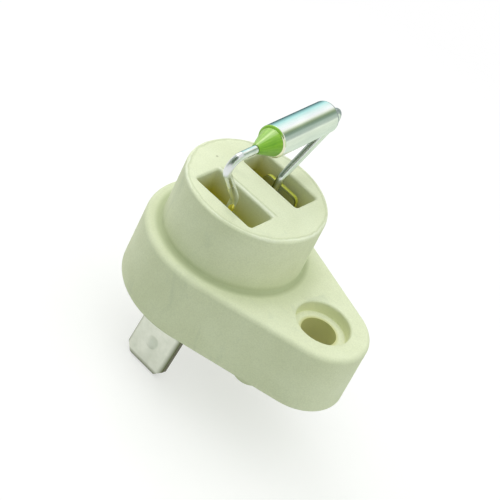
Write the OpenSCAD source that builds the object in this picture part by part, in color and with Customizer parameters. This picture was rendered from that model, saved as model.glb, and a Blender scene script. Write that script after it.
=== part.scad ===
// Ceramic-based thermal fuse link: a cylindrical cutoff with stiff axial leads bridges
// two push-on terminals that stand in the pockets of a pressed ceramic base.
// Millimetres. The origin is on the base's underside, below the boss's axis.
// +Z points up out of the pockets, and +X points from the boss to the screw hole.

/* [Ceramic base] */
// Height of the flange
flange_h = 9.1; // [8:0.1:11]
// Radius of the flange round the boss, at the flange's top
lobe_r = 11.3; // [10.6:0.1:13]
// Radius of the flange round the screw hole, at the flange's top
ear_r = 6.2; // [5.6:0.1:7.4]
// Distance from the boss's axis to the screw hole's axis
screw_x = 15.8; // [14.6:0.1:18]
// How much the flange's radii grow from its top down to its underside
flange_draft = 0.2; // [0.05:0.05:0.4]
// Rounding of the flange's top edge
flange_round = 0.7; // [0.3:0.1:1.2]
// Rounding of the flange's bottom edge
base_round = 0.3; // [0.1:0.05:0.5]
// Height of the boss above the flange
boss_h = 8.4; // [7:0.1:10]
// Radius of the boss at its top
boss_r = 9.2; // [8.9:0.1:9.6]
// How much the boss's radius grows from its top down to the flange
boss_draft = 0.1; // [0.05:0.05:0.3]
// Rounding of the boss's top edge
boss_round = 0.35; // [0.2:0.05:0.6]
// Fillet where the boss meets the flange
boss_fillet = 0.4; // [0.2:0.05:0.6]

/* [Pockets] */
// Length of each pocket, along X
pocket_l = 9.2; // [8.8:0.1:10]
// Width of each pocket, along Y
pocket_w = 4.2; // [3.8:0.1:4.8]
// How far each pocket lies off the boss's axis along X: the far one to +X, the near one to -X
pocket_shift = 0.1; // [0:0.05:0.2]
// Thickness of the wall between the two pockets
partition_t = 4.4; // [3.8:0.1:5]
// Depth of each pocket below the boss's top
pocket_depth = 9.5; // [8.6:0.1:11]
// Radius of the pockets' upright corners
pocket_corner = 0.4; // [0.3:0.05:0.8]
// Rounding of the pockets' upper edges
pocket_round = 0.35; // [0.2:0.05:0.5]

/* [Screw hole] */
// Diameter of the hole for the fixing screw
screw_d = 4.6; // [4.2:0.1:5.2]
// Diameter of the recess for the screw's head
recess_d = 7.1; // [6.4:0.1:7.8]
// Depth of the recess for the screw's head
recess_depth = 1.65; // [1.2:0.05:2.5]
// Rounding of the recess's upper edge
recess_round = 0.3; // [0.15:0.05:0.45]

/* [Locating stud] */
// Diameter of the stud under the flange
stud_d = 4.2; // [3.5:0.1:5]
// Height of the stud below the underside
stud_h = 1.2; // [0.8:0.1:2.5]
// Place of the stud's axis along X
stud_x = 12.3; // [12:0.1:12.8]
// Place of the stud's axis along Y
stud_y = -4.75; // [-5:0.05:-4.6]
// Rounding of the stud's lower edge
stud_round = 0.25; // [0.1:0.05:0.4]

/* [Terminals] */
// Distance from the boss's axis to the middle of each terminal's strip
strip_y = 5.3; // [5:0.05:5.4]
// Thickness of the terminal strip
strip_t = 0.8; // [0.6:0.05:1]
// Width of the push-on blade
blade_w = 6.35; // [6:0.05:6.6]
// Length of the blade below its bend
blade_l = 10.2; // [8:0.1:12]
// Angle by which the blade is splayed outwards below the base, in degrees
blade_splay = 11.5; // [5:0.5:15]
// Inner radius of the bend that splays the blade
bend_r = 0.8; // [0.5:0.1:1.5]
// Width of the cut corners at the blade's end
corner_w = 1.1; // [0.6:0.1:1.6]
// Length of the cut corners at the blade's end
corner_l = 1.3; // [0.8:0.1:2]
// Size of the bevels on both faces of the blade's end
bevel = 0.25; // [0.1:0.05:0.35]
// Diameter of the detent dimples on the blade's faces
dimple_d = 1.8; // [1.2:0.1:2.2]
// Depth of the detent dimples
dimple_depth = 0.2; // [0.1:0.05:0.25]
// Distance from the blade's end to the dimples' centres
dimple_x = 3.5; // [3:0.1:5]
// Sideways offset of the dimples from the blade's middle
dimple_shift = 0.2; // [0:0.05:0.5]
// Width of the shoulders that rest on the pocket's floor
shoulder_w = 7.8; // [7.3:0.1:8.2]
// Height of the shoulders
shoulder_h = 1.2; // [0.8:0.1:2]
// Width of the tongue above the shoulders
tongue_w = 5.4; // [4.8:0.05:5.8]
// Distance from the boss's top down to the tongue's top
tongue_drop = 1.35; // [0.8:0.05:2]
// Sideways offset of the tongue from the blade's middle
tongue_shift = 0.3; // [0:0.05:0.5]
// Radius of the tongue's upper corners
tongue_corner = 0.8; // [0.4:0.05:1.2]
// Gap between the strip and the walls of its slot, on each side
slot_gap = 0.1; // [0.05:0.01:0.15]

/* [Thermal cutoff] */
// Diameter of the cutoff's case
case_d = 4.0; // [3.6:0.1:4.4]
// Length of the case, with its rolled rim
case_l = 11.5; // [10.5:0.1:13]
// Rounding of the case's closed end
case_round = 0.45; // [0.2:0.05:0.7]
// Rounding of the rim that is rolled in at the case's mouth
rim_round = 0.3; // [0.1:0.05:0.4]
// Width of the flat face that is left on the rolled rim
rim_face = 0.15; // [0.1:0.01:0.25]
// Depth of the recess that the seal fills behind the rim
mouth_depth = 0.4; // [0.2:0.05:0.8]
// Length of the seal's cone beyond the rim
seal_l = 3.0; // [2:0.05:3.5]
// Thickness of the seal round the lead, at the cone's tip
seal_tip_t = 0.07; // [0.05:0.01:0.3]
// Height of the cutoff's axis above the boss's top
cutoff_lift = 8.4; // [7.5:0.1:10]
// Angle that the cutoff is turned about Z out of the line of its leads' feet, in degrees
cutoff_yaw = 2.6; // [0:0.1:4]
// Place along Y of the rim's face
rim_y = -2.8; // [-3.6:0.1:-2]
// Sideways place of the rim's centre
rim_x = 0.2; // [0:0.05:0.5]

/* [Leads] */
// Diameter of the leads
lead_d = 1.02; // [0.8:0.01:1.1]
// Radius of the leads' bends, at the lead's middle
lead_bend_r = 1.45; // [1.1:0.05:1.8]
// Distance from the rim's face to the corner of the isolated lead
seal_side_reach = 8.9; // [8:0.1:10]
// Distance from the closed end to the corner of the case lead
end_side_reach = 5.7; // [5:0.1:7]
// Height above the boss's top of the corners where the leads turn upright
foot_rise = 0.1; // [-0.2:0.05:0.6]
// Length of each lead's upright foot below that corner
foot_l = 6; // [4:0.1:7]
// Depth of the flat that each foot has against its terminal
weld_flat = 0.05; // [0.02:0.01:0.08]
// Depth of the isolated lead's root in the case, behind the seal
root_depth = 1.5; // [0.8:0.1:3]
// Depth of the case lead's root in the closed end
peg_depth = 0.8; // [0.5:0.1:1.5]
// Gap round each lead in the case and the seal, and round the seal in the case
bond_gap = 0.01; // [0.01:0.01:0.05]

/* [Hidden] */
$fn = 64;

// Colours
ceramic_colour = [0.87, 0.88, 0.80];
nickel_colour = [0.76, 0.77, 0.72];
tin_colour = [0.84, 0.86, 0.86];
seal_colour = [0.50, 0.74, 0.16];

// How far a cutting shape runs past the face that it cuts
cut = 1;
// A bend's section is smaller all round by this much than the straight runs beside it,
// and the runs lap into the bend by this much, so that the two join in one solid
bend_inset = 0.002;
bend_lap = 0.03;

// Base
boss_top = flange_h + boss_h;
pocket_floor = boss_top - pocket_depth;
pocket_y = partition_t / 2 + pocket_w / 2;
slot_w = blade_w + 2 * slot_gap;
slot_t = strip_t + 2 * slot_gap;
// Angle between X and the flange's straight sides, and the length of those sides
side_angle = asin((lobe_r - ear_r) / screw_x);
side_l = screw_x * cos(side_angle);
// The sides lie this far inside the tangent, so that they cross the round ends cleanly
side_inset = 0.002;

// Terminals: each lead's foot stands against the inner face of its terminal's tongue
lead_r = lead_d / 2;
face_y = strip_y - strip_t / 2;
foot_y = face_y + weld_flat - lead_r;
tongue_top = boss_top - tongue_drop;

// Cutoff: its axis runs along Y, turned by the yaw about the rim's centre
case_r = case_d / 2;
cutoff_z = boss_top + cutoff_lift;
axis_dir = [-sin(cutoff_yaw), cos(cutoff_yaw), 0];
rim_centre = [rim_x, rim_y, cutoff_z];
end_centre = rim_centre + case_l * axis_dir;
seal_base_r = case_r - rim_round;
mouth_r = seal_base_r - rim_face;
foot_z = boss_top + foot_rise;

// Corner points of the leads' middle lines
isolated_route = [
    rim_centre + (mouth_depth + root_depth) * axis_dir,
    rim_centre - seal_side_reach * axis_dir,
    [0, -foot_y, foot_z],
    [0, -foot_y, foot_z - foot_l]
];
case_route = [
    end_centre - peg_depth * axis_dir,
    end_centre + end_side_reach * axis_dir,
    [0, foot_y, foot_z],
    [0, foot_y, foot_z - foot_l]
];

function unit(v) = v / norm(v);

// An angle without the digits that are too small to matter
function whole_thousandths(angle) = round(angle * 1000) / 1000;

// Section of a wall's outer part, with a drafted side and rounded top and bottom edges.
// Its bottom corner, before it is rounded, lies at the origin, and depth is its reach inwards.
module drafted_edge(depth, h, draft, top_r, bottom_r) {
    slope_l = norm([h, draft]);
    out = [h, draft] / slope_l;
    top_c = [-(top_r * slope_l + (h - top_r) * draft) / h, h - top_r];
    bottom_c = [-bottom_r * (slope_l + draft) / h, bottom_r];
    polygon([
        [-depth, 0],
        [bottom_c.x, 0],
        bottom_c,
        bottom_c + bottom_r * out,
        top_c + top_r * out,
        top_c,
        [top_c.x, h],
        [-depth, h]
    ]);
    translate(top_c)
        circle(top_r);
    translate(bottom_c)
        circle(bottom_r);
}

// Section of the fillet at the foot of a drafted wall, whose foot lies at the origin
module foot_fillet(h, draft, r) {
    slope_l = norm([h, draft]);
    out = [h, draft] / slope_l;
    centre = [r * (slope_l - draft) / h, r];
    difference() {
        polygon([[-r, 0], [centre.x, 0], centre, centre - r * out, [-r, r]]);
        translate(centre)
            circle(r);
    }
}

// Section of the ceramic that a rounded upper edge takes away.
// The hole's wall is at x = 0 and the surface at y = 0.
module edge_cut(r, overlap) {
    difference() {
        translate([-overlap, -r])
            square(r + overlap);
        translate([r, -r])
            circle(r);
    }
}

// Rounded upper edge of a round hole
module round_hole_edge(hole_r, r) {
    rotate_extrude()
        translate([hole_r, 0])
            edge_cut(r, hole_r / 4);
}

// Rounded upper edge of a rectangular pocket with rounded upright corners
module pocket_edge(l, w, corner, r) {
    for (side = [0, 1])
        rotate([0, 0, 180 * side]) {
            // Long side
            translate([-(l / 2 - corner), w / 2, 0])
                rotate([90, 0, 90])
                    linear_extrude(l - 2 * corner)
                        edge_cut(r, corner / 2);
            // Short side
            translate([l / 2, w / 2 - corner, 0])
                rotate([90, 0, 0])
                    linear_extrude(w - 2 * corner)
                        edge_cut(r, corner / 2);
            // The two corners at this end
            for (upper = [0, 1])
                translate([l / 2 - corner, (2 * upper - 1) * (w / 2 - corner), 0])
                    rotate([0, 0, 90 * upper - 90])
                        rotate_extrude(angle = 90)
                            translate([corner, 0])
                                edge_cut(r, corner / 2);
        }
}

// Rectangle with rounded corners, centred on the origin
module rounded_rectangle(l, w, corner) {
    square([l - 2 * corner, w], center = true);
    square([l, w - 2 * corner], center = true);
    for (x = [-1, 1], y = [-1, 1])
        translate([x * (l / 2 - corner), y * (w / 2 - corner)])
            circle(corner);
}

// One pocket's space, centred on the origin, with its mouth at z = 0
module pocket() {
    translate([0, 0, -pocket_depth])
        linear_extrude(pocket_depth + cut)
            rounded_rectangle(pocket_l, pocket_w, pocket_corner);
    pocket_edge(pocket_l, pocket_w, pocket_corner, pocket_round);
}

module flange_section(depth) {
    drafted_edge(depth, flange_h, flange_draft, flange_round, base_round);
}

// A round end of the flange: a plain core inside a ring with the drafted edge
module flange_end(r) {
    cylinder(h = flange_h, r = r - 1.5 * flange_round);
    rotate_extrude()
        translate([r + flange_draft, 0])
            flange_section(flange_draft + 2.5 * flange_round);
}

// The flange: a round lobe, a round ear and drafted sides along their common tangents
module flange() {
    flange_end(lobe_r);
    translate([screw_x, 0, 0])
        flange_end(ear_r);
    // The core between the sides, and the depth at which they reach well into it
    core_lobe = lobe_r - 2 * flange_round;
    core_ear = ear_r - 2 * flange_round;
    linear_extrude(flange_h)
        polygon([[0, core_lobe], [screw_x, core_ear], [screw_x, -core_ear], [0, -core_lobe]]);
    side_depth = flange_draft + lobe_r - core_lobe * cos(side_angle) + flange_round;
    for (side = [0, 1])
        mirror([0, side, 0])
            rotate([0, 0, 90 - side_angle])
                rotate([90, 0, 0])
                    linear_extrude(side_l)
                        translate([lobe_r + flange_draft - side_inset, 0])
                            flange_section(side_depth);
}

// The boss, down to the flange's top, with the fillet round its foot
module boss() {
    translate([0, 0, flange_h]) {
        cylinder(h = boss_h, r = boss_r - 2 * boss_round);
        rotate_extrude()
            translate([boss_r + boss_draft, 0]) {
                drafted_edge(4 * boss_round, boss_h, boss_draft, boss_round, boss_draft / 2);
                foot_fillet(boss_h, boss_draft, boss_fillet);
            }
    }
}

// The stud under the flange that keeps the base from turning about its screw
module locating_stud() {
    translate([stud_x, stud_y, 0])
        rotate_extrude() {
            translate([0, -stud_h + stud_round])
                square([stud_d / 2, stud_h - stud_round + cut]);
            translate([0, -stud_h])
                square([stud_d / 2 - stud_round, stud_h]);
            translate([stud_d / 2 - stud_round, -stud_h + stud_round])
                circle(stud_round);
        }
}

module ceramic_base() {
    color(ceramic_colour)
        difference() {
            union() {
                flange();
                boss();
                locating_stud();
            }
            for (side = [-1, 1]) {
                translate([side * pocket_shift, side * pocket_y, boss_top])
                    pocket();
                // Slot for the terminal, from the pocket's floor to the underside
                translate([-slot_w / 2, side * strip_y - slot_t / 2, -cut])
                    cube([slot_w, slot_t, pocket_floor + 2 * cut]);
            }
            translate([screw_x, 0, -cut])
                cylinder(h = flange_h + 2 * cut, d = screw_d);
            translate([screw_x, 0, flange_h - recess_depth])
                cylinder(h = recess_depth + cut, d = recess_d);
            translate([screw_x, 0, flange_h])
                round_hole_edge(recess_d / 2, recess_round);
        }
}

// Outline of the upright strip: neck, shoulders and tongue. x runs along X and y up along Z.
module strip_outline() {
    translate([-blade_w / 2, -bend_lap])
        square([blade_w, pocket_floor + shoulder_h + bend_lap]);
    translate([-shoulder_w / 2, pocket_floor])
        square([shoulder_w, shoulder_h]);
    translate([tongue_shift - tongue_w / 2, pocket_floor]) {
        tongue_l = tongue_top - pocket_floor;
        square([tongue_w, tongue_l - tongue_corner]);
        translate([tongue_corner, 0])
            square([tongue_w - 2 * tongue_corner, tongue_l]);
        for (x = [tongue_corner, tongue_w - tongue_corner])
            translate([x, tongue_l - tongue_corner])
                circle(tongue_corner);
    }
}

// Outline of the push-on blade, which hangs down from y = 0, with its corners cut
module blade_outline() {
    half_w = blade_w / 2;
    polygon([
        [-half_w, bend_lap],
        [half_w, bend_lap],
        [half_w, -(blade_l - corner_l)],
        [half_w - corner_w, -blade_l],
        [-(half_w - corner_w), -blade_l],
        [-half_w, -(blade_l - corner_l)]
    ]);
}

// A flat piece of the strip, from an outline in X and Z, centred on y = 0
module strip_sheet() {
    rotate([90, 0, 0])
        linear_extrude(strip_t, center = true)
            children();
}

// The straight blade, with a bevelled end and a dimple on each face
module blade() {
    ball_r = (pow(dimple_d / 2, 2) + pow(dimple_depth, 2)) / (2 * dimple_depth);
    difference() {
        strip_sheet()
            blade_outline();
        for (face = [-1, 1]) {
            translate([0, face * strip_t / 2, -blade_l])
                rotate([45, 0, 0])
                    cube([blade_w, bevel * sqrt(2), bevel * sqrt(2)], center = true);
            translate([
                dimple_shift,
                face * (strip_t / 2 + ball_r - dimple_depth),
                dimple_x - blade_l
            ])
                sphere(ball_r);
        }
    }
}

// One terminal, as it stands in the pocket on the +Y side
module terminal() {
    turn_r = bend_r + strip_t / 2;
    color(nickel_colour)
        translate([0, strip_y, 0]) {
            strip_sheet()
                strip_outline();
            // The bend below the underside, and the blade that it carries
            translate([0, turn_r, 0]) {
                rotate([0, 90, 0])
                    rotate([0, 0, -90])
                        rotate_extrude(angle = blade_splay)
                            translate([bend_r + bend_inset, bend_inset - blade_w / 2])
                                square([strip_t, blade_w] - 2 * [bend_inset, bend_inset]);
                rotate([blade_splay, 0, 0])
                    translate([0, -turn_r, 0])
                        blade();
            }
        }
}

module far_terminal() {
    terminal();
}

module near_terminal() {
    rotate([0, 0, 180])
        terminal();
}

// Places a shape that is turned round +Z on the cutoff's axis, with z = 0 at the rim's face
module on_cutoff_axis() {
    translate(rim_centre)
        rotate([-90, 0, cutoff_yaw])
            children();
}

// The sealed case: a can that is closed at its far end and rolled in round the seal
module cutoff_case() {
    color(tin_colour)
        on_cutoff_axis()
            difference() {
                rotate_extrude() {
                    translate([0, rim_round])
                        square([case_r, case_l - rim_round - case_round]);
                    square([case_r - rim_round, case_l]);
                    square([case_r - case_round, case_l]);
                    translate([case_r - rim_round, rim_round])
                        circle(rim_round);
                    translate([case_r - case_round, case_l - case_round])
                        circle(case_round);
                }
                // Recess behind the rim, for the seal
                translate([0, 0, -cut])
                    cylinder(h = mouth_depth + cut, r = mouth_r);
                // Holes for the roots of the two leads
                translate([0, 0, mouth_depth - cut])
                    cylinder(h = root_depth + cut, r = lead_r + bond_gap);
                translate([0, 0, case_l - peg_depth])
                    cylinder(h = peg_depth + cut, r = lead_r + bond_gap);
            }
}

// The seal: a cone of epoxy on the rim, with a plug behind it and a bore for the lead
module cutoff_seal() {
    bore_r = lead_r + bond_gap;
    plug_r = mouth_r - bond_gap;
    color(seal_colour)
        on_cutoff_axis()
            rotate_extrude()
                polygon([
                    [bore_r, mouth_depth],
                    [plug_r, mouth_depth],
                    [plug_r, 0],
                    [seal_base_r, 0],
                    [seal_base_r, -rim_round / 3],
                    [bore_r + seal_tip_t, -seal_l],
                    [bore_r, -seal_l]
                ]);
}

// A round wire along corner points, with every inner corner bent to the same radius.
// It is made as a wire bender makes it: a straight run, a turn about the wire, then a bend.
module bent_wire(points, d, r) {
    last = len(points) - 1;
    function heading(i) = unit(points[i + 1] - points[i]);
    // Direction from corner i towards the inside of its bend, square to the run before it
    function inner(i) = unit(heading(i) - heading(i) * heading(i - 1) * heading(i - 1));
    function bend(i) = whole_thousandths(acos(heading(i - 1) * heading(i)));
    // Distance from corner i to where its bend starts and ends
    function setback(i) = i == 0 || i == last ? 0 : r * tan(bend(i) / 2);
    function run(i) = norm(points[i + 1] - points[i]) - setback(i) - setback(i + 1);
    // Turn about the wire that brings the inside of the bend before into that of corner i
    function turn(i) = i == 1 ? 0 : whole_thousandths(atan2(
        cross(heading(i - 2), inner(i - 1)) * inner(i),
        (cos(bend(i - 1)) * inner(i - 1) - sin(bend(i - 1)) * heading(i - 2)) * inner(i)
    ));
    module from_run(i) {
        start = i == 0 ? 0 : bend_lap;
        end = i == last - 1 ? 0 : bend_lap;
        translate([0, 0, -start])
            cylinder(h = start + run(i) + end, d = d);
        if (i < last - 1)
            translate([0, 0, run(i)])
                rotate([0, 0, turn(i + 1)])
                    translate([r, 0, 0]) {
                        rotate([90, 0, 180])
                            rotate_extrude(angle = bend(i + 1))
                                translate([r, 0])
                                    circle(d = d - 2 * bend_inset);
                        rotate([0, bend(i + 1), 0])
                            translate([-r, 0, 0])
                                from_run(i + 1);
                    }
    }
    // Local +Z runs along the first run, and local +X points to the inside of the first bend
    x = inner(1);
    z = heading(0);
    y = cross(z, x);
    o = points[0];
    multmatrix([
        [x.x, y.x, z.x, o.x],
        [x.y, y.y, z.y, o.y],
        [x.z, y.z, z.z, o.z]
    ])
        from_run(0);
}

// A lead whose foot is flattened where it is welded to the terminal on the given side
module welded_lead(route, side) {
    difference() {
        bent_wire(route, lead_d, lead_bend_r);
        translate([-lead_d, side > 0 ? face_y : -face_y - lead_d, foot_z - foot_l - cut])
            cube([2 * lead_d, lead_d, tongue_top - (foot_z - foot_l) + cut]);
    }
}

module isolated_lead() {
    color(tin_colour)
        welded_lead(isolated_route, -1);
}

module case_lead() {
    color(tin_colour)
        welded_lead(case_route, 1);
}

ceramic_base();
near_terminal();
far_terminal();
cutoff_case();
cutoff_seal();
isolated_lead();
case_lead();
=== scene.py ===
"""Looks, light and camera for the thermal fuse link on its ceramic base.

The CAD nodes keep their shapes and get procedural materials. Places in the CAD frame are in
millimetres, and MM turns them into Blender's metres."""
import math

import bmesh
import bpy
from mathutils import Matrix, Vector


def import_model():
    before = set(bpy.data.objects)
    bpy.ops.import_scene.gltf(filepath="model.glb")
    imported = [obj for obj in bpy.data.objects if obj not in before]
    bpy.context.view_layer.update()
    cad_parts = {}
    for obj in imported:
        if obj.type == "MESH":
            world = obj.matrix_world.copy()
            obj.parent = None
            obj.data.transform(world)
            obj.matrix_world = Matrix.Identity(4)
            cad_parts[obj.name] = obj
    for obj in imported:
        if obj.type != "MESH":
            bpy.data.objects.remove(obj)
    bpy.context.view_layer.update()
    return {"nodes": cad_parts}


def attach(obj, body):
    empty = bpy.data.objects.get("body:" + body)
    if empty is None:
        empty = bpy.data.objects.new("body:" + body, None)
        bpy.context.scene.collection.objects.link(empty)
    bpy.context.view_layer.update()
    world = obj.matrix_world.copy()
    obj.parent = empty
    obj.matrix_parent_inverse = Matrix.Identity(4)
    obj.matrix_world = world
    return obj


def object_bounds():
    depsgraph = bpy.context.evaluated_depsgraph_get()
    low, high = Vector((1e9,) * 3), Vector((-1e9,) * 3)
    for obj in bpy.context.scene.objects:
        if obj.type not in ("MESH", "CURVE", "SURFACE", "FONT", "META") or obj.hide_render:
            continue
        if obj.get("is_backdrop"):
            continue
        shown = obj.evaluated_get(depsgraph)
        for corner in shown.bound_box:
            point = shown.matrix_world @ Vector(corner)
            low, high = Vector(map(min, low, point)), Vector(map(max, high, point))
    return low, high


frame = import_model()
MM = 0.001

# Base: heights of the boss's and the flange's top, and radius of the fillet at the boss's foot
BOSS_TOP, FLANGE_TOP, FOOT_R = 17.5, 9.1, 9.7
# Ridge pressed into the boss's top: radii of its groove and of the crest outside the groove
GROOVE_R, CREST_R = 8.72, 8.98
# Pockets: length, wall between the two, and how far each lies off the boss's axis along X
POCKET_L, PARTITION_T, POCKET_SHIFT = 9.2, 4.4, 0.1
# Screw hole: place along X, radius, and radius of the recess for the screw's head
SCREW_X, SCREW_R, RECESS_R = 15.8, 2.3, 3.55
# Terminals: middle of the upright strips, and the dimple in each blade, to each side of Y = 0
STRIP_Y, DIMPLE_Y, DIMPLE_Z = 5.3, 6.66, -6.8
# Blades: half their width, and their length below the base
BLADE_HALF_W, BLADE_L = 3.175, 10.2
# Cutoff: middle of its rim, with the height of its axis
RIM_X, RIM_Y, CUTOFF_Z = 0.2, -2.8, 25.9


# Node helpers

class Tree:
    """The node tree of a material or world, with one call for each node."""

    def __init__(self, owner):
        self.owner = owner
        owner.use_nodes = True
        self.nodes = owner.node_tree.nodes
        self.links = owner.node_tree.links
        self.nodes.clear()

    def node(self, kind, inputs=None, **settings):
        """Adds a node. A tuple (node, output) in inputs is a link, and anything else a value."""
        made = self.nodes.new(kind)
        for key, value in settings.items():
            setattr(made, key, value)
        for key, value in (inputs or {}).items():
            self.feed(made, key, value)
        return made

    def feed(self, node, key, value):
        socket = node.inputs[key]
        if isinstance(value, tuple) and len(value) == 2 and hasattr(value[0], "outputs"):
            self.links.new(value[0].outputs[value[1]], socket)
        else:
            socket.default_value = value

    def math(self, operation, a, b=0.0):
        return (self.node("ShaderNodeMath", {0: a, 1: b}, operation=operation), 0)

    def times(self, first, *others):
        """The product of several values, such as masks that all have to hold."""
        for other in others:
            first = self.math("MULTIPLY", first, other)
        return first

    def map_range(self, value, low, high, to_low=0.0, to_high=1.0):
        made = self.node("ShaderNodeMapRange", {
            "Value": value, "From Min": low, "From Max": high,
            "To Min": to_low, "To Max": to_high})
        return (made, 0)

    def band(self, value, centre, outer, inner):
        """1 where the value is within inner of the centre, fading to 0 at outer."""
        off = self.math("ABSOLUTE", self.math("SUBTRACT", value, centre))
        return self.map_range(off, outer, inner)

    def ramp(self, factor, stops):
        """Maps a factor to colours. Each stop is (position, (r, g, b))."""
        made = self.node("ShaderNodeValToRGB", {"Fac": factor})
        elements = made.color_ramp.elements
        for element, (position, colour) in zip(elements, stops):
            element.position, element.color = position, (*colour, 1)
        for position, colour in stops[2:]:
            elements.new(position).color = (*colour, 1)
        return (made, "Color")

    def mix(self, factor, a, b, blend="MIX"):
        made = self.node("ShaderNodeMix", data_type="RGBA", blend_type=blend)
        for index, value in ((0, factor), (6, a), (7, b)):
            if isinstance(value, tuple) and len(value) == 3:
                value = (*value, 1)
            self.feed(made, index, value)
        return (made, 2)

    def stain(self, mask, strength, colour, stained):
        """Mixes a colour towards another, by the mask times the strength."""
        return self.mix(self.math("MULTIPLY", mask, strength), colour, stained)

    def grey(self, value):
        """A value as a colour with three equal parts."""
        made = self.node("ShaderNodeCombineColor", {"Red": value, "Green": value, "Blue": value})
        return (made, 0)

    def place(self, scale=(1, 1, 1)):
        """The piece's own coordinates, in metres, scaled."""
        own = self.node("ShaderNodeTexCoord")
        return (self.node("ShaderNodeMapping", {"Vector": (own, "Object"), "Scale": scale}), 0)

    def axes(self):
        """The place in the CAD frame, in millimetres, as three values."""
        split = self.node("ShaderNodeSeparateXYZ", {"Vector": self.place((1000, 1000, 1000))})
        return [(split, i) for i in range(3)]

    def facing(self):
        """The surface's direction in the CAD frame, as three values."""
        own = self.node("ShaderNodeTexCoord")
        split = self.node("ShaderNodeSeparateXYZ", {"Vector": (own, "Normal")})
        return [(split, i) for i in range(3)]

    def radius(self, x, y, centre_x):
        """Distance from an upright axis at (centre_x, 0)."""
        off = self.math("SUBTRACT", x, centre_x)
        return self.math("SQRT", self.math("ADD", self.times(off, off), self.times(y, y)))

    def noise(self, place, scale, detail=4.0, rough=0.5, distort=0.0):
        """Noise with its scale per metre, so that 1000 gives patches of about a millimetre."""
        made = self.node("ShaderNodeTexNoise", {
            "Vector": place, "Scale": scale, "Detail": detail,
            "Roughness": rough, "Distortion": distort})
        return (made, 0)

    def bump(self, height, distance, strength):
        """Relief, where a height of 1 stands proud by the distance in metres."""
        inputs = {"Height": height, "Distance": distance, "Strength": strength}
        return (self.node("ShaderNodeBump", inputs), 0)

    def seen(self):
        """1 for rays that show a thing, directly or mirrored, and 0 for rays that light others."""
        ray = self.node("ShaderNodeLightPath")
        shown = self.math("MAXIMUM", (ray, "Is Glossy Ray"), (ray, "Is Transmission Ray"))
        return self.math("MAXIMUM", (ray, "Is Camera Ray"), shown)

    def finish(self, **inputs):
        """Ends a material in a Principled shader with these inputs, and returns it."""
        shader = self.node("ShaderNodeBsdfPrincipled", {
            key.replace("_", " "): value for key, value in inputs.items()})
        self.node("ShaderNodeOutputMaterial", {"Surface": (shader, 0)})
        return self.owner


def material_tree(name):
    return Tree(bpy.data.materials.new(name))


# Ceramic

def ceramic_body(t, place, grain):
    """The plain surface: faint clouds, fine grain, grey rub marks and sparse specks of iron."""
    clouds = t.noise(place, 140, 3, 0.55)
    colour = t.ramp(clouds, [(0.3, (0.80, 0.81, 0.62)), (0.7, (0.88, 0.89, 0.72))])
    speckle = t.map_range(grain, 0.35, 0.65, 0.95, 1.03)
    colour = t.mix(1.0, colour, t.grey(speckle), "MULTIPLY")
    rubs = t.noise(t.place((1, 1, 0.35)), 260, 5, 0.65, 0.6)
    colour = t.mix(t.map_range(rubs, 0.58, 0.74, 0.0, 0.35), colour, (0.56, 0.60, 0.50))
    cells = t.node("ShaderNodeTexVoronoi", {"Vector": place, "Scale": 330.0, "Randomness": 1.0})
    chosen = t.node("ShaderNodeSeparateColor", {"Color": (cells, "Color")})
    specks = t.times(t.map_range((cells, "Distance"), 0.075, 0.03),
                     t.map_range((chosen, 0), 0.80, 0.84))
    return t.stain(specks, 0.6, colour, (0.36, 0.34, 0.22))


def painted_shade_at_foot(t, colour, from_axis, z):
    """Painted shade in the corner where the boss meets the flange, and a fainter painted shade
    round it.
    """
    above = t.map_range(z, FLANGE_TOP - 0.6, FLANGE_TOP - 0.2)
    around = t.times(t.map_range(z, FLANGE_TOP + 2.5, FLANGE_TOP + 0.1),
                     t.map_range(from_axis, FOOT_R + 2.5, FOOT_R + 0.2), above)
    colour = t.stain(around, 0.40, colour, (0.60, 0.64, 0.44))
    corner = t.times(t.map_range(from_axis, FOOT_R + 0.6, FOOT_R),
                     t.map_range(from_axis, FOOT_R - 0.7, FOOT_R - 0.3),
                     t.map_range(z, FLANGE_TOP + 1.0, FLANGE_TOP + 0.1), above)
    return t.stain(corner, 0.75, colour, (0.46, 0.50, 0.31))


def painted_shade_in_hollows(t, colour, place, from_axis, x, y, z):
    """Painted shade in the body's hollows, olive instead of grey, darker and more olive towards -X
    in the pockets.

    They are the two pockets, the screw hole and the wall of its recess."""
    off_underside = t.map_range(z, 0.1, 1.5)
    inside_boss = t.map_range(from_axis, 8.75, 8.45)
    below_top = t.map_range(z, BOSS_TOP - 0.2, BOSS_TOP - 3.3)
    pocket = t.times(inside_boss, below_top, off_underside)
    wash = t.math("SUBTRACT", t.noise(place, 380, 3, 0.6), 0.5)
    towards_ear = t.map_range(t.math("ADD", x, t.math("MULTIPLY", wash, 3.0)), -3.0, 5.5)
    olive = t.mix(towards_ear, (0.64, 0.58, 0.06), (0.74, 0.75, 0.34))
    # Painted shade in the pockets
    colour = t.mix(pocket, colour, olive)
    from_screw = t.radius(x, y, SCREW_X)
    hole = t.times(t.map_range(from_screw, SCREW_R + 0.45, SCREW_R - 0.05), off_underside)
    colour = t.mix(hole, colour, (0.64, 0.62, 0.30))
    recess = t.times(t.map_range(from_screw, RECESS_R + 0.2, RECESS_R - 0.05),
                     t.map_range(from_screw, RECESS_R - 0.25, RECESS_R - 0.05),
                     t.map_range(z, FLANGE_TOP, FLANGE_TOP - 0.7))
    return t.stain(recess, 0.7, colour, (0.78, 0.79, 0.52))


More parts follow.
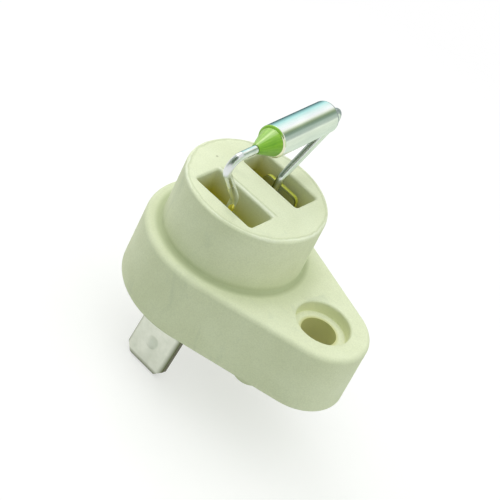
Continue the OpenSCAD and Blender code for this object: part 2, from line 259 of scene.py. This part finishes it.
def press_marks_and_painted_light(t, colour, place, from_axis, x, y, z):
    """The marks that the press leaves on the boss's top, which wander as they do on the real one.

    Inside the edge runs a ridge, a groove in painted shade with a painted highlight on its crest.
    Along each pocket's inner edge runs a lip with a painted highlight, and a line of painted shade
    behind it. Returns the colour, and masks of what is sunk and what stands proud."""
    on_top = t.map_range(z, BOSS_TOP - 0.5, BOSS_TOP - 0.2)
    wander = t.math("MULTIPLY", t.math("SUBTRACT", t.noise(place, 240, 4, 0.65), 0.5), 1.3)
    ring = t.math("ADD", from_axis, wander)
    groove = t.times(t.band(ring, GROOVE_R, 0.20, 0.04), on_top)
    broken = t.map_range(t.noise(place, 420, 3, 0.6), 0.35, 0.6)
    crest = t.times(t.band(ring, CREST_R, 0.24, 0.06), on_top, broken)
    off_middle = t.math("SUBTRACT", x, t.math("MULTIPLY", t.math("SIGN", y), POCKET_SHIFT))
    beside = t.map_range(t.math("ABSOLUTE", off_middle), POCKET_L / 2 + 0.3, POCKET_L / 2 - 0.1)
    from_mouth = t.math("SUBTRACT", PARTITION_T / 2, t.math("ABSOLUTE", y))
    from_mouth = t.math("ADD", from_mouth, t.math("MULTIPLY", wander, 0.4))
    fainter_at_far = t.map_range(y, 0.5, -0.5, 0.3, 1.0)
    lip = t.times(t.band(from_mouth, 0.22, 0.26, 0.12), fainter_at_far, on_top, beside)
    line = t.times(t.band(from_mouth, 0.55, 0.20, 0.03), fainter_at_far, on_top, beside)
    # Painted light: the crest and the lip get painted highlights, and the groove and the line
    # painted shade
    colour = t.stain(crest, 0.55, colour, (0.95, 0.95, 0.86))
    colour = t.stain(groove, 0.36, colour, (0.54, 0.57, 0.38))
    colour = t.stain(lip, 0.50, colour, (0.95, 0.94, 0.88))
    colour = t.stain(line, 0.46, colour, (0.52, 0.55, 0.36))
    return colour, t.math("MAXIMUM", groove, line), t.math("MAXIMUM", crest, lip)


def ceramic():
    """Pressed and fired, unglazed."""
    t = material_tree("ceramic")
    place = t.place()
    x, y, z = t.axes()
    from_axis = t.radius(x, y, 0.0)
    grain = t.noise(place, 5200, 3, 0.6)
    pits = t.noise(place, 1500, 2, 0.5)
    colour = ceramic_body(t, place, grain)
    colour = painted_shade_at_foot(t, colour, from_axis, z)
    colour = painted_shade_in_hollows(t, colour, place, from_axis, x, y, z)
    colour, sunk, proud = press_marks_and_painted_light(t, colour, place, from_axis, x, y, z)
    height = t.math("ADD", t.math("MULTIPLY", grain, 0.5), pits)
    height = t.math("SUBTRACT", height, t.math("MULTIPLY", sunk, 1.8))
    height = t.math("ADD", height, proud)
    return t.finish(Base_Color=colour, Roughness=0.72, Normal=t.bump(height, 0.00006, 0.5))


# Metals

def plated_strip():
    """Dull nickel plate on the rolled faces and bare brass on the cut edges.

    The edges are bright in the pocket, and painted dark below it, a painted reflection of the dark
    beneath."""
    t = material_tree("plated_strip")
    x, y, z = t.axes()
    mottle = t.noise(t.place(), 700, 5, 0.6)
    stains = t.noise(t.place((1, 1, 0.6)), 260, 3, 0.6)
    plate = t.ramp(mottle, [(0.3, (0.60, 0.63, 0.53)), (0.7, (0.74, 0.76, 0.67))])
    plate = t.mix(t.map_range(stains, 0.5, 0.75, 0.0, 0.5), plate, (0.42, 0.45, 0.36))

    # Painted shade creeping in from the blade's cut edges and its end, more from one edge
    worse = t.math("POWER", t.map_range(x, BLADE_HALF_W - 0.875, BLADE_HALF_W - 0.075), 1.5)
    lesser = t.map_range(x, 0.275 - BLADE_HALF_W, 0.005 - BLADE_HALF_W, 0.0, 0.5)
    end = t.map_range(z, 0.75 - BLADE_L, 0.15 - BLADE_L, 0.0, 0.95)
    painted_edge_shade = t.math("MAXIMUM", t.math("MAXIMUM", worse, lesser), end)
    below_base = t.map_range(z, 0.5, -0.5)
    plate = t.stain(t.times(painted_edge_shade, below_base), 0.92, plate, (0.07, 0.09, 0.02))

    # The dimple is greyer, a painted shade, by the square of the distance from its middle
    off_y = t.math("SUBTRACT", t.math("ABSOLUTE", y), DIMPLE_Y)
    off_z = t.math("SUBTRACT", z, DIMPLE_Z)
    square = t.math("ADD", t.times(off_y, off_y), t.times(off_z, off_z))
    square = t.math("ADD", t.times(x, x), square)
    plate = t.mix(t.map_range(square, 1.0, 0.3, 0.0, 0.5), plate, (0.50, 0.55, 0.46))

    # Cut edges: torn bright on their outer half in the pocket, and smeared dark on the inner half
    torn = t.noise(t.place(), 2600, 4, 0.7)
    bright = t.mix(t.map_range(torn, 0.36, 0.50), (0.78, 0.76, 0.08), (1.0, 1.0, 0.24))
    across_strip = t.math("SUBTRACT", t.math("ABSOLUTE", y), STRIP_Y)
    sheared = t.mix(t.map_range(across_strip, -0.16, -0.02), (0.16, 0.17, 0.07), bright)
    # Below the pocket the cut edges are painted dark, a painted reflection of the dark beneath
    up_in_pocket = t.map_range(z, 9.0, 14.0)
    brass = t.mix(up_in_pocket, (0.10, 0.10, 0.05), sheared)
    brass = t.mix(t.map_range(mottle, 0.45, 0.75, 0.0, 0.25), brass, (0.30, 0.28, 0.10))
    cut = t.map_range(t.math("ABSOLUTE", t.facing()[1]), 0.85, 0.75)
    return t.finish(
        Base_Color=t.mix(cut, plate, brass), Metallic=1.0,
        Roughness=t.map_range(mottle, 0.3, 0.7, 0.34, 0.50),
        Normal=t.bump(mottle, 0.00002, 0.5))


def tin_plate(name, rough_low, rough_high, scale=(1, 1, 1)):
    """Begins bright tin plate with handling marks: its tree, marks, colour and roughness."""
    t = material_tree(name)
    marks = t.noise(t.place(scale), 900, 5, 0.6)
    blur = t.noise(t.place(), 350, 2, 0.5)
    colour = t.ramp(marks, [(0.3, (0.66, 0.69, 0.70)), (0.7, (0.80, 0.82, 0.82))])
    return t, marks, colour, t.map_range(blur, 0.3, 0.7, rough_low, rough_high)


def finish_tin(t, marks, colour, metal, rough):
    return t.finish(
        Base_Color=colour, Metallic=metal, Roughness=rough,
        Normal=t.bump(marks, 0.00001, 0.4))


def case_tin():
    """The cutoff's case, with epoxy on its rim: a cream film towards +X, and green opposite."""
    t, marks, colour, rough = tin_plate("tinned_case", 0.07, 0.15, (1, 0.2, 1))
    x, y, z = t.axes()
    cream = t.times(t.map_range(y, RIM_Y + 0.32, RIM_Y + 0.12, 0.0, 0.8),
                    t.map_range(x, RIM_X - 0.4, RIM_X + 0.8))
    colour = t.mix(cream, colour, (0.80, 0.80, 0.52))
    up = t.math("MULTIPLY", t.math("SUBTRACT", z, CUTOFF_Z), 0.6)
    aside = t.math("MULTIPLY", t.math("SUBTRACT", x, RIM_X), 0.8)
    green = t.times(t.map_range(y, RIM_Y + 0.26, RIM_Y + 0.16),
                    t.map_range(t.math("SUBTRACT", up, aside), -0.1, 0.5))
    colour = t.mix(green, colour, (0.30, 0.58, 0.06))
    metal = t.math("SUBTRACT", 1.0, green)
    rough = t.math("ADD", rough, t.math("MULTIPLY", green, 0.2))
    return finish_tin(t, marks, colour, metal, rough)


def isolated_tin():
    """The isolated lead, rougher and less metallic in its pocket and just above it, with a painted
    reflection of the pocket's cream walls there.
    """
    t, marks, colour, rough = tin_plate("tinned_lead", 0.18, 0.30)
    low = t.map_range(t.axes()[2], BOSS_TOP + 3.5, BOSS_TOP + 0.5)
    # Painted reflection of the pocket's cream walls on the lead's lower end
    colour = t.stain(low, 0.7, colour, (0.86, 0.88, 0.74))
    metal = t.math("SUBTRACT", 1.0, t.math("MULTIPLY", low, 0.3))
    rough = t.math("ADD", rough, t.math("MULTIPLY", low, 0.18))
    return finish_tin(t, marks, colour, metal, rough)


def shaded_tin():
    """The case's own lead, with painted shade on the side that faces -Y, under the cutoff."""
    t, marks, colour, rough = tin_plate("shaded_lead", 0.18, 0.30)
    along_x, along_y = t.facing()[:2]
    # Painted shade on the side that faces -Y
    lead_shade = t.times(t.map_range(along_x, 0.45, 0.0), t.map_range(along_y, 0.0, -0.4),
                   t.map_range(marks, 0.3, 0.6, 0.75, 1.0))
    colour = t.mix(lead_shade, colour, (0.33, 0.38, 0.31))
    return finish_tin(t, marks, colour, 1.0, rough)


def melted_brass():
    """Bright brass that was melted: smooth, with a few ripples."""
    t = material_tree("bead_metal")
    ripples = t.noise(t.place(), 2600, 3, 0.5)
    colour = t.ramp(ripples, [(0.3, (0.78, 0.66, 0.10)), (0.7, (0.92, 0.84, 0.20))])
    return t.finish(
        Base_Color=colour, Metallic=1.0, Roughness=0.32, Normal=t.bump(ripples, 0.00003, 0.6))


# Epoxy

def epoxy():
    """Lime green potting epoxy, with streaks from its tip to the rim, painted paler over its top,
    and a painted highlight along the top.

    They follow the angle round the cutoff's axis, up from +X and in radians."""
    t = material_tree("epoxy")
    x, y, z = t.axes()
    turned = t.math("ARCTAN2", t.math("SUBTRACT", z, CUTOFF_Z), t.math("SUBTRACT", x, RIM_X))
    along = t.node("ShaderNodeCombineXYZ", {
        "X": turned, "Y": t.math("MULTIPLY", y, 0.05), "Z": 0.0})
    streaks = t.noise((along, 0), 5.0, 4, 0.6)
    waves = t.noise(t.place(), 600, 3, 0.5)
    tint = t.math("ADD", t.math("MULTIPLY", streaks, 0.7), t.math("MULTIPLY", waves, 0.3))
    colour = t.ramp(tint, [(0.36, (0.15, 0.40, 0.006)), (0.64, (0.29, 0.58, 0.03))])
    # Painted light: the top is painted paler, and a painted highlight runs along it
    pale = t.times(t.map_range(turned, 0.9, 2.2), t.map_range(streaks, 0.35, 0.6, 0.5, 1.0))
    colour = t.stain(pale, 0.5, colour, (0.52, 0.76, 0.22))
    stripe = t.times(t.band(turned, 1.6, 0.34, 0.05), t.map_range(streaks, 0.3, 0.6, 0.3, 0.8))
    colour = t.mix(stripe, colour, (0.74, 0.90, 0.46))
    height = t.math("ADD", streaks, t.math("MULTIPLY", waves, 0.4))
    return t.finish(
        Base_Color=colour, Roughness=0.30, Subsurface_Weight=0.1,
        Subsurface_Radius=(0.0006, 0.0008, 0.0003), Subsurface_Scale=1.0,
        Normal=t.bump(height, 0.00008, 0.6))


MATERIALS = {
    "ceramic_base": ceramic(),
    "near_terminal": plated_strip(),
    "cutoff_case": case_tin(),
    "cutoff_seal": epoxy(),
    "isolated_lead": isolated_tin(),
    "case_lead": shaded_tin(),
}
MATERIALS["far_terminal"] = MATERIALS["near_terminal"]
for name, material in MATERIALS.items():
    data = frame["nodes"][name].data
    data.materials.clear()
    data.materials.append(material)


# Weld bead: a little brass squeezed up between the near lead's foot and its tongue

def weld_bead(name, middle, half_size):
    """A lumpy, leaning drop with its middle on the tongue's top edge, beside the foot."""
    mesh = bpy.data.meshes.new(name)
    build = bmesh.new()
    bmesh.ops.create_icosphere(build, subdivisions=4, radius=1.0)
    for vertex in build.verts:
        x, y, z = vertex.co
        lump = 1 + 0.10 * math.sin(3 * x + 2 * z) + 0.07 * math.sin(5 * y - 3 * x) - 0.12 * z * x
        place = Vector((x * half_size[0], y * half_size[1], z * half_size[2])) * lump
        place.x += 0.12 * place.z
        vertex.co = (Vector(middle) + place) * MM
    for face in build.faces:
        face.smooth = True
    build.to_mesh(mesh)
    build.free()
    made = bpy.data.objects.new(name, mesh)
    bpy.context.scene.collection.objects.link(made)
    mesh.materials.append(melted_brass())
    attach(made, "root")


weld_bead("near_weld_bead", middle=(0.42, -4.98, 16.45), half_size=(0.38, 0.30, 0.55))


# Stage: a pale floor under the blades' ends, which keeps the object's shadow

def floor():
    """Plain paper to rays that light the object, and near white where it is seen.

    Where it is seen it fades to white away from the object, so that no horizon shows."""
    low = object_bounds()[0][2]
    reach = 600 * MM
    mesh = bpy.data.meshes.new("floor")
    mesh.from_pydata(
        [(x * reach, y * reach, low) for x, y in ((-1, -1), (1, -1), (1, 1), (-1, 1))],
        [], [(0, 1, 2, 3)])
    made = bpy.data.objects.new("floor", mesh)
    bpy.context.scene.collection.objects.link(made)
    t = material_tree("floor")
    paper = t.noise(t.place(), 90, 4, 0.6)
    bounce = t.node("ShaderNodeBsdfDiffuse", {
        "Color": t.ramp(paper, [(0.3, (0.63, 0.63, 0.63)), (0.7, (0.65, 0.65, 0.65))])})
    shade = t.node("ShaderNodeBsdfDiffuse", {
        "Color": t.ramp(paper, [(0.3, (0.47, 0.455, 0.49)), (0.7, (0.49, 0.475, 0.51))])})
    glow = t.node("ShaderNodeEmission", {"Color": (1, 1, 1, 1), "Strength": 0.57})
    shown = t.node("ShaderNodeAddShader", {0: (shade, 0), 1: (glow, 0)})
    white = t.node("ShaderNodeEmission", {"Color": (1, 1, 1, 1), "Strength": 1.0})
    x, y = t.axes()[:2]
    away = t.map_range(t.radius(x, y, 0.0), 30, 110)
    faded = t.node("ShaderNodeMixShader", {0: away, 1: (shown, 0), 2: (white, 0)})
    mixed = t.node("ShaderNodeMixShader", {0: t.seen(), 1: (bounce, 0), 2: (faded, 0)})
    t.node("ShaderNodeOutputMaterial", {"Surface": (mixed, 0)})
    mesh.materials.append(t.owner)
    made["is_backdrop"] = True


floor()


# Light

def world():
    """A weak fill, green as the photograph's shadows are, and white where it is seen."""
    made = bpy.data.worlds.new("studio")
    bpy.context.scene.world = made
    t = Tree(made)
    fill = t.node("ShaderNodeBackground", {"Color": (0.64, 1.0, 0.36, 1), "Strength": 0.20})
    white = t.node("ShaderNodeBackground", {"Color": (1, 1, 1, 1), "Strength": 1.0})
    mixed = t.node("ShaderNodeMixShader", {0: t.seen(), 1: (fill, 0), 2: (white, 0)})
    t.node("ShaderNodeOutputWorld", {"Surface": (mixed, 0)})


def softbox(name, place, size, power, in_metal):
    """A round soft lamp that points at the base, with its size in metres and power in watts."""
    data = bpy.data.lights.new(name, "AREA")
    data.shape, data.size, data.energy = "DISK", size, power
    made = bpy.data.objects.new(name, data)
    made.location = Vector(place) * MM
    towards = Vector((0, 0, 10)) * MM - made.location
    made.rotation_euler = towards.to_track_quat("-Z", "Y").to_euler()
    made.visible_glossy = in_metal
    bpy.context.scene.collection.objects.link(made)


world()
softbox("over", (0, 0, 380), size=0.8, power=1.88, in_metal=False)
softbox("right", (380, 40, 120), size=0.4, power=0.30, in_metal=False)
softbox("left", (-300, 60, 260), size=0.4, power=0.62, in_metal=True)


# Reflectors: what the bright tin mirrors

def reflector(name, mesh, place, stops, factor, strength):
    """A studio cloth that only the bright metal sees: it lights and shades nothing.

    factor(t) picks the place among the stops' colours."""
    made = bpy.data.objects.new(name, mesh)
    made.location = Vector(place) * MM
    bpy.context.scene.collection.objects.link(made)
    t = material_tree(name)
    cloth = t.noise(t.place(), 120, 3, 0.6)
    colour = t.ramp(factor(t), stops)
    soft = t.mix(t.map_range(cloth, 0.3, 0.7, 0.0, 0.06), colour, (0.5, 0.5, 0.5))
    glow = t.node("ShaderNodeEmission", {"Color": soft, "Strength": strength})
    t.node("ShaderNodeOutputMaterial", {"Surface": (glow, 0)})
    mesh.materials.append(t.owner)
    made.visible_camera = made.visible_diffuse = made.visible_shadow = False
    made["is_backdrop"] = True


# Tunnel: radius, place of its two ends along Y, and number of its corners
TUNNEL_R, TUNNEL_START, TUNNEL_END, TUNNEL_CORNERS = 34, 20, 64, 96
# The colours round it, by the angle in degrees up from +X. They start and end at the cut.
TUNNEL_CUT = -118
TUNNEL_COLOURS = (
    (-118, (0.50, 0.58, 0.46)),
    (-80, (0.66, 0.76, 0.62)),
    (0, (0.72, 0.80, 0.64)),
    (12, (0.80, 0.88, 0.72)),
    (24, (0.46, 0.54, 0.46)),
    (44, (0.40, 0.50, 0.41)),
    (54, (0.24, 0.33, 0.25)),
    (68, (0.21, 0.29, 0.18)),
    (78, (0.38, 0.46, 0.28)),
    (92, (0.94, 0.98, 0.84)),
    (102, (1.0, 1.0, 1.0)),
    (128, (0.86, 1.0, 0.96)),
    (158, (0.53, 0.88, 0.84)),
    (176, (0.30, 0.56, 0.55)),
    (192, (0.12, 0.24, 0.24)),
    (222, (0.04, 0.07, 0.09)),
)


def reflector_tunnel():
    """A short tunnel of tinted cloth beyond the cutoff's closed end, round the cutoff's axis.

    The case mirrors it as bands along its length: dark at the far edge, pale cyan above,
    white on top, an olive-grey band in the middle and cream below. A grey disc closes it."""
    turns = [2 * math.pi * i / TUNNEL_CORNERS for i in range(TUNNEL_CORNERS)]

    def corners(*ends):
        return [(TUNNEL_R * math.cos(a) * MM, y * MM, TUNNEL_R * math.sin(a) * MM)
                for a in turns for y in ends]

    points = corners(TUNNEL_START, TUNNEL_END)
    count = len(points)
    faces = [(i, i + 1, (i + 3) % count, (i + 2) % count) for i in range(0, count, 2)]
    wall = bpy.data.meshes.new("tunnel")
    wall.from_pydata(points, [], faces)
    cut = math.radians(TUNNEL_CUT)

    def turn(t):
        """The angle round the tunnel's axis, from 0 to 1, counted from the cut."""
        own = t.node("ShaderNodeTexCoord")
        here = t.node("ShaderNodeSeparateXYZ", {"Vector": (own, "Object")})
        side = t.math("ADD", t.math("MULTIPLY", (here, 0), -math.cos(cut)),
                      t.math("MULTIPLY", (here, 2), -math.sin(cut)))
        lift = t.math("SUBTRACT", t.math("MULTIPLY", (here, 0), math.sin(cut)),
                      t.math("MULTIPLY", (here, 2), math.cos(cut)))
        return t.map_range(t.math("ARCTAN2", lift, side), -math.pi, math.pi)

    middle = (RIM_X, 0, CUTOFF_Z)
    stops = [((angle - TUNNEL_CUT) / 360, colour) for angle, colour in TUNNEL_COLOURS]
    reflector("tunnel", wall, middle, stops, turn, 1.25)
    cap = bpy.data.meshes.new("tunnel_end")
    cap.from_pydata(corners(TUNNEL_END), [], [tuple(range(TUNNEL_CORNERS))])
    reflector("tunnel_end", cap, middle, [(0.0, (0.30, 0.36, 0.34)), (1.0, (0.40, 0.46, 0.44))],
              lambda t: t.noise(t.place(), 60), 1.0)


def hang(name, aim, across, distance, wide, high, dark, light):
    """Hangs a flat cloth square to its direction from the cutoff's axis."""
    aim = Vector(aim).normalized()
    across = Vector(across)
    across = (across - across.dot(aim) * aim).normalized() * wide / 2
    up = aim.cross(across).normalized() * high / 2
    middle = aim * distance
    corners = [middle - across - up, middle + across - up,
               middle + across + up, middle - across + up]
    mesh = bpy.data.meshes.new(name)
    mesh.from_pydata([tuple(corner * MM) for corner in corners], [], [(0, 1, 2, 3)])
    reflector(name, mesh, (0, 0, CUTOFF_Z), [(0.3, dark), (0.7, light)],
              lambda t: t.noise(t.place(), 30), 1.0)


reflector_tunnel()
# Dark and grey cloths above the camera, which the leads and the rim mirror as a dark stripe
hang("dark_flag", aim=(-0.01, -0.62, 0.78), across=(0.94, 0.24, -0.23),
     distance=100, wide=146, high=130, dark=(0.08, 0.13, 0.07), light=(0.13, 0.19, 0.11))
hang("grey_flag", aim=(-0.84, -0.42, 0.36), across=(0.30, -0.42, 0.85),
     distance=102, wide=90, high=150, dark=(0.30, 0.38, 0.29), light=(0.38, 0.46, 0.36))
# A pale green cloth on the right, for the leads' lower edges
hang("side_cloth", aim=(0.95, 0.05, 0.25), across=(0, 1, 0),
     distance=150, wide=260, high=120, dark=(0.72, 0.88, 0.62), light=(0.80, 0.94, 0.70))


# Camera: the photograph's viewing angle, solved from the base's ellipses

def camera(place, right, forward, lens):
    """A camera by its place, the directions of its right side and its view, and its lens."""
    data = bpy.data.cameras.new("camera")
    data.sensor_width, data.lens = 36, lens
    data.clip_start, data.clip_end = 0.01, 10
    made = bpy.data.objects.new("camera", data)
    back = -Vector(forward).normalized()
    right = Vector(right)
    right = (right - right.dot(back) * back).normalized()
    turn = Matrix((right, back.cross(right), back)).transposed().to_4x4()
    made.matrix_world = Matrix.Translation(Vector(place) * MM) @ turn
    bpy.context.scene.collection.objects.link(made)
    bpy.context.scene.camera = made


camera(place=(61.23, -127.45, 116.75), right=(0.6924, 0.6233, 0.3635),
       forward=(-0.3311, 0.7221, -0.6074), lens=103.84)
bpy.context.scene.view_settings.view_transform = "Standard"
